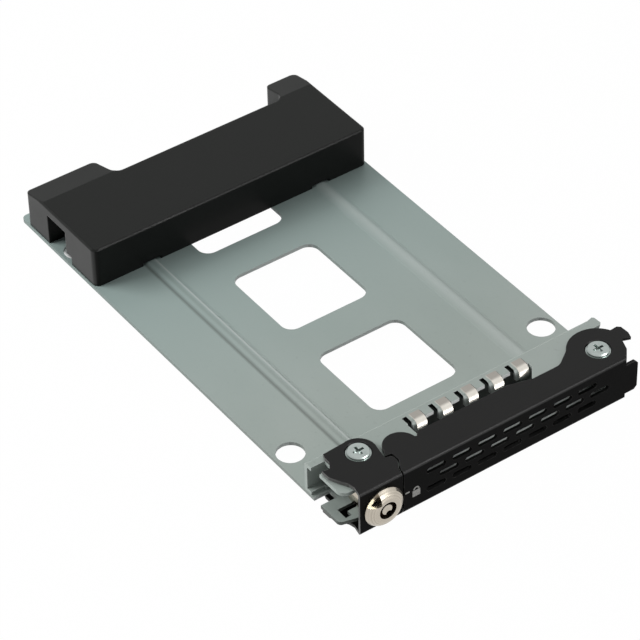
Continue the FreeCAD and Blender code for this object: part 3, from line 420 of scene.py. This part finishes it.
def black_plastic():
    """Moulded black plastic with a fine spark-eroded grain and a painted highlight along its edges, glossier
    to the left than to the front.
    """
    shader = Shader("black_plastic", MOULDED_BLACK, 0.36)
    front = shader.both(shader.facing("Y", -PAST_WHOLE, -0.7), 0.48)
    left = shader.facing("X", -PAST_WHOLE, -0.7)
    shader.gloss(shader.math("SUBTRACT", left, front), base=0.125, change=0.135)
    grain = shader.noise(5200.0)
    shader.round_off(radius=0.5)
    shader.bump(grain, depth=0.012, strength=0.5)
    shader.roughen(shader.ramp(shader.noise(70.0, detail=3.0), (0.3, 0.7), (-1.0, 1.0)), 0.05)
    shader.tint(shader.ramp(grain, (0.55, 0.8)), MOULDED_GRAIN, 0.4)
    # Painted highlight along the edges
    shader.tint(shader.edges(radius=0.18), MOULDED_EDGE_HIGHLIGHT)
    return shader.material


def black_paint():
    """Satin black paint on steel: slight orange peel, a light line along the edges that is partly wear and
    partly painted highlight, and a painted highlight on the latch's left-facing faces.
    """
    shader = Shader("black_paint", PAINT_BLACK, 0.4)
    shader.gloss(shader.facing("Y", -PAST_WHOLE, -0.95), base=0.13, change=-0.11)
    # Painted highlight on the latch's left-facing faces
    shader.tint(shader.both(shader.facing("X", -PAST_WHOLE, -0.6), shader.zone("X", LATCH_LIT_SIDE_X)), PAINT_LEFT_HIGHLIGHT)
    shader.bump(shader.noise(2400.0), depth=0.02, strength=0.35)
    # A light line along the edges, partly wear and partly painted highlight
    wear_and_highlight = shader.ramp(shader.noise(700.0, detail=4.0), (0.45, 0.7), (0.15, 0.8))
    shader.tint(shader.both(shader.edges(radius=0.16), wear_and_highlight), PAINT_WEAR_AND_HIGHLIGHT)
    shader.roughen(shader.ramp(shader.noise(160.0, detail=3.0), (0.3, 0.7), (-1.0, 1.0)), 0.05)
    return shader.material


# Plated small parts


def plated_metal(name, color, dull_color, roughness):
    """A plated small part: clear gloss, faint dulling and fine scratches."""
    shader = Shader(name, color, roughness, metallic=1.0)
    dull = shader.noise(600.0, detail=4.0)
    shader.tint(shader.ramp(dull, (0.5, 0.75)), dull_color, 0.5)
    shader.roughen(shader.ramp(dull, (0.35, 0.7)), 0.12)
    shader.bump(shader.noise(3200.0), depth=0.006, strength=0.4)
    return shader.material


def lock_nickel():
    """Turned and polished nickel with faint rings about the lock's axis, dark brown painted shade in the
    keyway and painted shade on up-facing faces such as the notch's floor.
    """
    shader = Shader("nickel", LOCK_NICKEL, 0.2, metallic=1.0)
    place = shader.parts_of(shader.place)
    across = shader.math("SUBTRACT", place["X"], LOCK_X * MM)
    upward = shader.math("SUBTRACT", place["Z"], LOCK_Z * MM)
    squares = (shader.both(value, value) for value in (across, upward))
    radius = shader.math("SQRT", shader.math("ADD", *squares), 0.0)
    rings = shader.node("ShaderNodeTexNoise", noise_dimensions="1D")
    rings.inputs["Scale"].default_value = 4200.0
    shader.link(radius, rings.inputs["W"])
    shader.tint(shader.ramp(rings.outputs["Fac"], (0.45, 0.7)), LOCK_RINGS, 0.5)
    shader.roughen(shader.ramp(shader.noise(600.0, detail=3.0), (0.35, 0.7)), 0.1)
    keyway = shader.window(radius, -1.0, KEYWAY_RADIUS * MM, 0.02 * MM)
    # Painted shade in the deep keyway
    shader.tint(shader.both(keyway, shader.zone("Y", KEYWAY_Y)), LOCK_KEYWAY_SHADE)
    # Painted shade on up-facing faces, the notch's floor among them
    shader.tint(shader.facing("Z", 0.9, PAST_WHOLE), LOCK_NOTCH_SHADE, 0.8)
    return shader.material


def finger_nickel():
    """Rolled nickel strip: painted shade, dark and warm, on its top faces; bright where it rolls over and
    hangs down.
    """
    shader = Shader("finger_nickel", FINGER_NICKEL, 0.4, metallic=0.5)
    # Painted shade on the top faces
    shader.tint(shader.facing("Z", 0.97, PAST_WHOLE), FINGER_TOP_SHADE, 0.9)
    shader.flatten(shader.both(shader.facing("Z", -0.5, 0.97), 0.45))
    shader.bump(shader.noise(1500.0, stretch=(1.0, 0.1, 0.1)), depth=0.01, strength=0.4)
    return shader.material


def printed_mark():
    """Pale grey ink of the small marks on the lever's face, partly worn."""
    shader = Shader("printed_mark", MARK_INK, 0.5)
    shader.tint(shader.ramp(shader.noise(4200.0, detail=3.0), (0.52, 0.7)), WORN_INK, 0.7)
    return shader.material


MATERIALS = {
    "zinc_sheet": zinc_sheet(),
    "black_plastic": black_plastic(),
    "black_paint": black_paint(),
    "screw_zinc": plated_metal("screw_zinc", SCREW_ZINC, DULL_SCREW, 0.28),
    "post_steel": plated_metal("post_steel", POST_STEEL, DULL_POST, 0.34),
    "nickel": lock_nickel(),
    "spring_steel": plated_metal("spring_steel", SPRING_STEEL, DULL_SPRING, 0.3),
    "finger_nickel": finger_nickel(),
}

for row in frame["record"]["subparts"]:
    node = nodes[row["node"]]
    for holder in node.material_slots:
        holder.material = MATERIALS[row["material_slot"]]


# Printed marks on the lever's face: a padlock and a tick

MARK_THICKNESS = 0.03
MARK_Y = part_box("lever")[0][1] / MM - MARK_THICKNESS
PADLOCK_X, PADLOCK_Z = (-19.8, -18.0), (0.55, 2.1)
SHACKLE_X, SHACKLE_Z = -18.9, 2.25
SHACKLE_OUTER, SHACKLE_INNER = 0.72, 0.42
TICK_X, TICK_Z = (-21.45, -20.5), (2.25, 2.6)


def rectangle(across, upward):
    """A closed loop of four corners."""
    return [(across[i], upward[j]) for i, j in ((0, 0), (1, 0), (1, 1), (0, 1))]


def arc(x, z, radius, start, end, steps=12):
    """Points along a circular arc, in degrees."""
    angles = [math.radians(start + (end - start) / steps * i) for i in range(steps + 1)]
    return [(x + radius * math.cos(angle), z + radius * math.sin(angle)) for angle in angles]


def band(x, z, outer, inner, start, end):
    """A closed loop between two arcs."""
    return arc(x, z, outer, start, end) + arc(x, z, inner, end, start)


def outline_piece(name, loops, material, body):
    """A thin flat piece in front of the lever's face, from closed loops of points in millimetres."""
    mesh = bpy.data.meshes.new(name)
    build = bmesh.new()
    for loop in loops:
        verts = [build.verts.new((x * MM, MARK_Y * MM, z * MM)) for x, z in loop]
        build.faces.new(verts)
    bmesh.ops.recalc_face_normals(build, faces=build.faces)
    for face in build.faces:
        if face.normal.y > 0:
            face.normal_flip()
    bmesh.ops.solidify(build, geom=build.faces[:], thickness=MARK_THICKNESS * MM)
    build.to_mesh(mesh)
    build.free()
    piece = bpy.data.objects.new(name, mesh)
    scene.collection.objects.link(piece)
    mesh.materials.append(material)
    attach(piece, body)


mark_ink = printed_mark()
padlock = [
    rectangle(PADLOCK_X, PADLOCK_Z),
    band(SHACKLE_X, SHACKLE_Z, SHACKLE_OUTER, SHACKLE_INNER, 0, 180),
]
tick = [rectangle(TICK_X, TICK_Z)]
outline_piece("padlock_mark", padlock, mark_ink, "lever")
outline_piece("tick_mark", tick, mark_ink, "lever")


# Studio: a pale floor, a white background and soft lights

FLOOR_WHITENESS = 0.99
FLOOR_RETURN = 0.62
FLOOR_SIZE = 6.0
FLOOR_GAP = 0.1
UNDER_PORT_X, UNDER_PORT_Y = (-32.0, -26.0), (75.5, 82.5)
UNDER_PORT_BLEND = 0.6
STUDIO_STRENGTH = 0.33
MIDDLE = (0.0, 0.035, 0.0)


def floor_material():
    """Plain pale floor: white where it is seen, matt for the light it returns, dark under the side port."""
    shader = Shader("floor", (FLOOR_RETURN,) * 3, 0.9, specular=0.1)
    glow = shader.node("ShaderNodeEmission")
    glow.inputs["Color"].default_value = WHITE
    across = shader.zone("X", UNDER_PORT_X, UNDER_PORT_BLEND)
    along = shader.zone("Y", UNDER_PORT_Y, UNDER_PORT_BLEND)
    open_floor = shader.math("SUBTRACT", 1.0, shader.both(across, along))
    white_share = shader.both(background_rays(shader.tree), open_floor, FLOOR_WHITENESS)
    mix_into(
        shader.tree, "Material Output", white_share, shader.surface.outputs["BSDF"], glow.outputs["Emission"]
    )
    return shader.material


def area_light(name, place, size, power, sheen=True, fill=True):
    """A square soft light aimed at the tray, seen in reflections (sheen), in matt shading (fill) or both.

    Its place and size are in metres and its power in watts.
    """
    data = bpy.data.lights.new(name, "AREA")
    data.shape = "SQUARE"
    data.size = size
    data.energy = power
    lamp = bpy.data.objects.new(name, data)
    lamp.location = place
    lamp.rotation_euler = (Vector(MIDDLE) - Vector(place)).to_track_quat("-Z", "Y").to_euler()
    lamp.visible_diffuse = fill
    lamp.visible_glossy = sheen
    scene.collection.objects.link(lamp)


def background_light(tree, strength):
    """A white world light of one strength."""
    light = tree.nodes.new("ShaderNodeBackground")
    light.inputs["Color"].default_value = WHITE
    light.inputs["Strength"].default_value = strength
    return light.outputs["Background"]


def studio_world():
    """Soft light from all round, and plain white where the background itself is seen."""
    world = bpy.data.worlds.new("studio")
    world.use_nodes = True
    tree = world.node_tree
    lights = (background_light(tree, strength) for strength in (STUDIO_STRENGTH, 1.0))
    mix_into(tree, "World Output", background_rays(tree), *lights)
    return world


low_z = cad_box[0][2]
bpy.ops.mesh.primitive_plane_add(size=FLOOR_SIZE, location=(0.0, 0.0, low_z - FLOOR_GAP * MM))
floor = bpy.context.object
floor.name = "floor"
floor.data.materials.append(floor_material())

area_light("key", (-0.50, 0.42, 0.36), size=0.45, power=7.0, sheen=False)
area_light("fold_sheen", (0.40, -0.62, 0.62), size=0.25, power=6.0, fill=False)
area_light("low_sheen", (0.10, -0.80, 0.14), size=0.2, power=5.0, fill=False)
area_light("overhead", (0.15, 0.05, 0.95), size=0.7, power=2.35)
scene.world = studio_world()


# Camera: the photograph's view

TARGET = Vector((-3.495, 28.422, 0.0)) * MM
DISTANCE = 659.62 * MM
AZIMUTH, ELEVATION, ROLL = (math.radians(angle) for angle in (-34.719, 40.773, -1.367))
FOCAL_PIXELS, IMAGE_PIXELS, SENSOR = 3265.5, 640.0, 36.0
NEAREST = 0.01


def photo_camera():
    """A camera that looks at the target from the photograph's side and height, with its slight roll."""
    back = Vector((
        math.sin(AZIMUTH) * math.cos(ELEVATION),
        -math.cos(AZIMUTH) * math.cos(ELEVATION),
        math.sin(ELEVATION),
    ))
    right = Vector((0.0, 0.0, 1.0)).cross(back).normalized()
    up = back.cross(right)
    rolled_right = right * math.cos(ROLL) + up * math.sin(ROLL)
    rolled_up = up * math.cos(ROLL) - right * math.sin(ROLL)
    data = bpy.data.cameras.new("camera")
    data.sensor_width = SENSOR
    data.lens = FOCAL_PIXELS / IMAGE_PIXELS * SENSOR
    data.clip_start = NEAREST
    camera = bpy.data.objects.new("camera", data)
    turn = Matrix((rolled_right, rolled_up, back)).transposed().to_4x4()
    camera.matrix_world = Matrix.Translation(TARGET + back * DISTANCE) @ turn
    scene.collection.objects.link(camera)
    return camera


scene.camera = photo_camera()
scene.view_settings.view_transform = "Standard"
